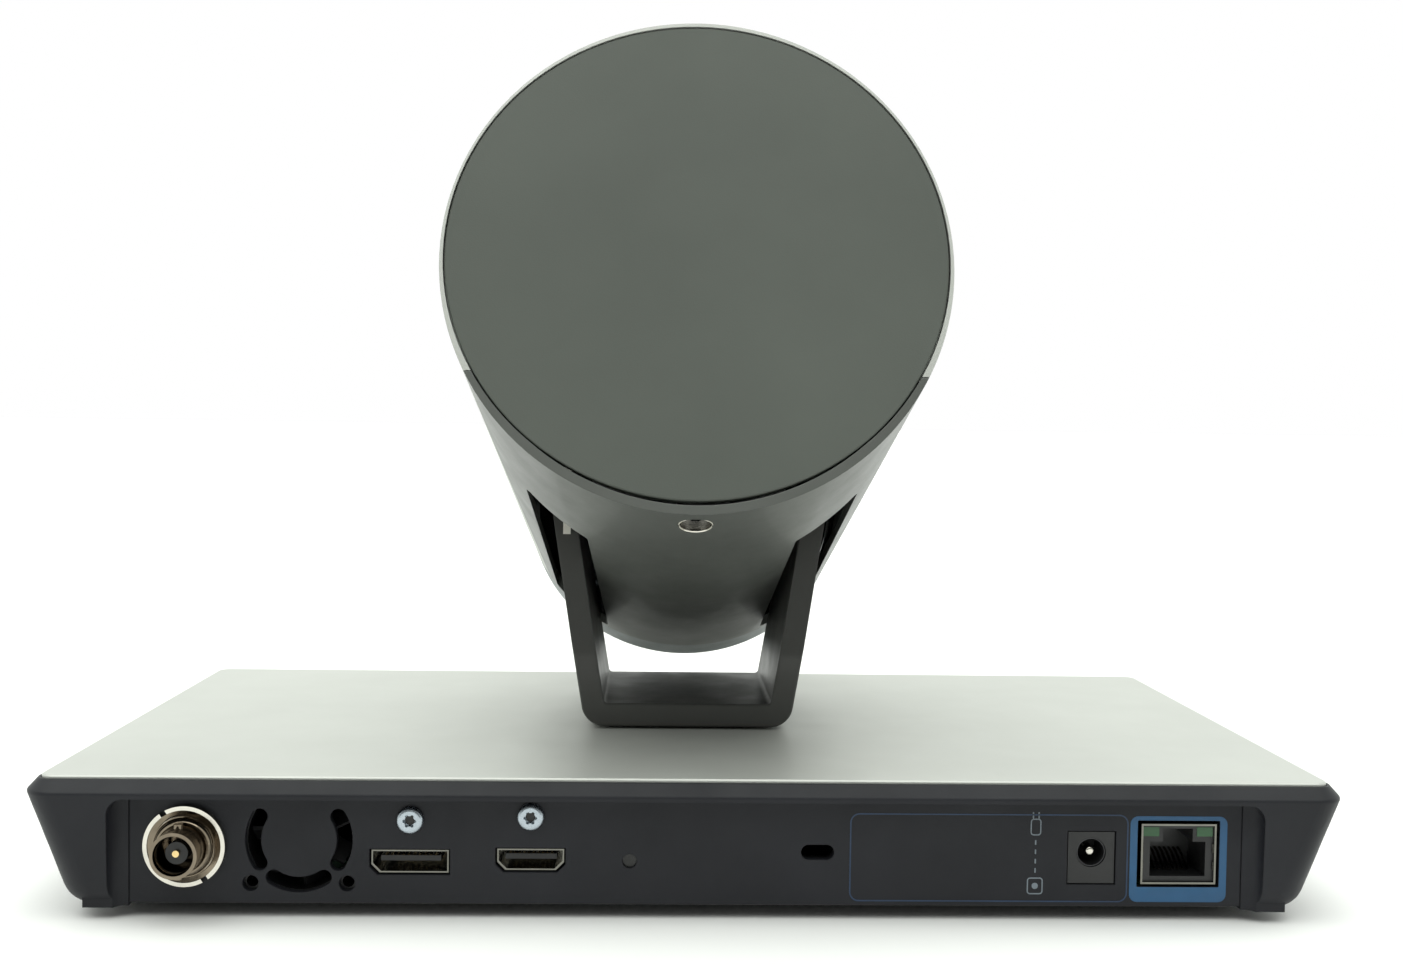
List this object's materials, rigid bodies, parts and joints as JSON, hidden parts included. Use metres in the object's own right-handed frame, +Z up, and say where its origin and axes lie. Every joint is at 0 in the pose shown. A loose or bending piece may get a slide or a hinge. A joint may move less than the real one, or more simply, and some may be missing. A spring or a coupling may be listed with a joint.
{
  "type": "pan and tilt conference camera",
  "caption": "Motorised conference camera: a tapered head with a slanted round rear cover tilts in a U-shaped yoke that pans on a wide slab base with a rear connector panel.",
  "frame": {"origin": "on the table, in the middle of the base's footprint", "axes": "+Z up, -Y the way the lens looks, +Y the connector panel, +X the side of the coaxial socket"},
  "size_m": [0.2768, 0.1593, 0.1941],
  "materials": {
    "silver_plate": "fine bead-blasted silver anodising",
    "front_trim": "bright satin, slightly blue",
    "dark_shell": "smooth charcoal moulding",
    "rear_disc": "satin charcoal",
    "yoke_paint": "die casting with charcoal satin paint",
    "floor_steel": "zinc-plated sheet",
    "screw_steel": "bright zinc",
    "dark_screw": "blackened",
    "brass_part": "turned, gold plated where it is a contact",
    "nickel": "nickel plate",
    "socket_metal": "bright tinned sheet",
    "black_insert": "black moulding",
    "light_window": "translucent green",
    "status_window": "smoked, dark while unlit",
    "board": "green solder mask",
    "cast_frame": "as cast",
    "gear_plastic": "natural acetal",
    "motor_case": "plated can",
    "front_black": "gloss black",
    "lens_black": "ribbed black",
    "lens_glass": "coated lens glass",
    "foot_rubber": "soft pad"
  },
  "bodies": {
    "base": {"base_shell": "dark_shell", "bottom_plate": "floor_steel", "coax_body": "nickel", "coax_contact": "brass_part", "coax_insulator": "black_insert", "coax_ring": "nickel", "display_shell": "socket_metal", "display_tongue": "black_insert", "fan_frame": "black_insert", "floor_screws": "screw_steel", "foot_front_left": "foot_rubber", "foot_front_right": "foot_rubber", "foot_rear_left": "foot_rubber", "foot_rear_right": "foot_rubber", "lock_plate": "floor_steel", "main_board": "board", "network_insert": "black_insert", "network_lights": "light_window", "network_shield": "socket_metal", "pan_bushing": "brass_part", "pan_chassis": "cast_frame", "pan_motor": "motor_case", "panel_screws": "screw_steel", "power_housing": "black_insert", "power_pin": "nickel", "rear_panel": "dark_shell", "status_light": "status_window", "top_plate": "silver_plate", "tripod_nut": "brass_part", "video_shell": "socket_metal", "video_tongue": "black_insert"},
    "pan": {"yoke": "yoke_paint", "pan_spindle": "screw_steel", "pan_gear": "gear_plastic", "tilt_shaft_left": "screw_steel", "tilt_shaft_right": "screw_steel", "tilt_gear": "gear_plastic", "cable_strap": "socket_metal"},
    "head": {"sleeve": "silver_plate", "belly_cover": "dark_shell", "belly_screw": "dark_screw", "rear_cover": "rear_disc", "front_ring": "front_trim", "front_mask": "front_black", "front_lens": "lens_glass", "lens_tube": "lens_black", "lens_rods": "screw_steel", "sensor_board": "board", "head_board": "board", "head_chassis": "cast_frame", "tilt_bushing_left": "brass_part", "tilt_bushing_right": "brass_part", "tilt_motor": "motor_case"},
    "pan_drive": {"pan_pinion": "brass_part"},
    "tilt_drive": {"tilt_pinion": "brass_part"},
    "fan": {"fan_rotor": "black_insert"},
    "zoom": {"zoom_carrier": "lens_black", "zoom_glass": "lens_glass"},
    "focus": {"focus_carrier": "lens_black", "focus_glass": "lens_glass"}
  },
  "joints": [
    {"name": "pan", "type": "hinge", "parent": "base", "child": "pan", "pos_m": [0, -0.008, 0.03], "axis": [0, 0, 1], "range_deg": [-100, 100]},
    {"name": "tilt", "type": "hinge", "parent": "pan", "child": "head", "pos_m": [0, -0.008, 0.1071], "axis": [1, 0, 0], "range_deg": [-30, 3]},
    {"name": "pan_motor_spin", "type": "hinge", "parent": "base", "child": "pan_drive", "pos_m": [0, -0.02966, 0.0165], "axis": [0, 0, 1], "range_deg": [-505, 505]},
    {"name": "tilt_motor_spin", "type": "hinge", "parent": "head", "child": "tilt_drive", "pos_m": [0, 0.00809, 0.1153], "axis": [1, 0, 0], "range_deg": [-155, 20]},
    {"name": "fan_spin", "type": "hinge", "parent": "base", "child": "fan", "pos_m": [0.082, 0.062, 0.0165], "axis": [0, 1, 0], "continuous": true},
    {"name": "zoom_slide", "type": "slide", "parent": "head", "child": "zoom", "axis": [0, 0.891, 0.454], "range_m": [-0.006, 0.014]},
    {"name": "focus_slide", "type": "slide", "parent": "head", "child": "focus", "axis": [0, 0.891, 0.454], "range_m": [-0.003, 0.003]}
  ],
  "couplings": [
    {"joint": "pan_motor_spin", "follows": "pan", "ratio": -5},
    {"joint": "tilt_motor_spin", "follows": "tilt", "ratio": 5}
  ]
}
